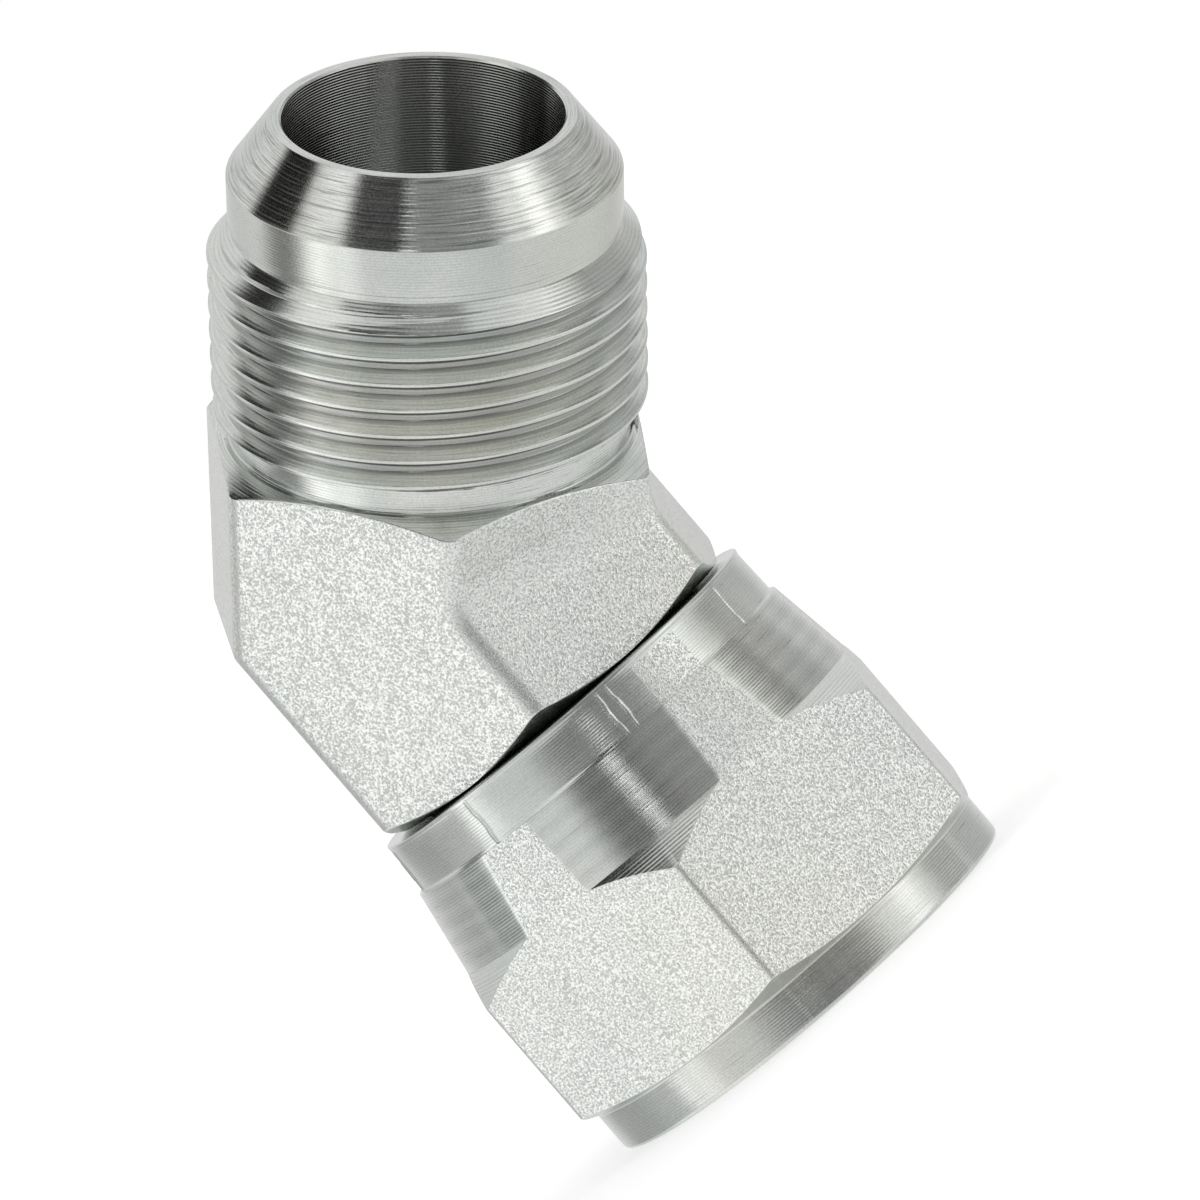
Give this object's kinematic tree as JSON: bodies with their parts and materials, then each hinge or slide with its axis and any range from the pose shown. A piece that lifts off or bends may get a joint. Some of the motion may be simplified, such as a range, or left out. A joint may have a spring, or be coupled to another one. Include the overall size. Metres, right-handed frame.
{
  "type": "swivel elbow fitting",
  "caption": "Forty-five degree hydraulic swivel elbow in plated steel: a forged body with a male flare end, and a hexagonal nut with female thread that turns on its tail.",
  "frame": {"origin": "centre of the swivel nut's mouth, on the swivel axis", "axes": "+Z along the swivel axis from the nut's mouth towards the elbow's centre; the male end leans 45 degrees from there towards +X; Y is square to the plane of the elbow"},
  "size_m": [0.0561, 0.039, 0.079],
  "materials": {
    "forged_steel": "zinc plated, blasted on the forged faces and turned on the male end",
    "nut_steel": "zinc plated, blasted on the flats and turned elsewhere"
  },
  "bodies": {
    "body": {"elbow_body": "forged_steel"},
    "nut": {"swivel_nut": "nut_steel"}
  },
  "joints": [
    {"name": "nut_spin", "type": "hinge", "parent": "body", "child": "nut", "pos_m": [0, 0, 0], "axis": [0, 0, 1], "continuous": true}
  ]
}
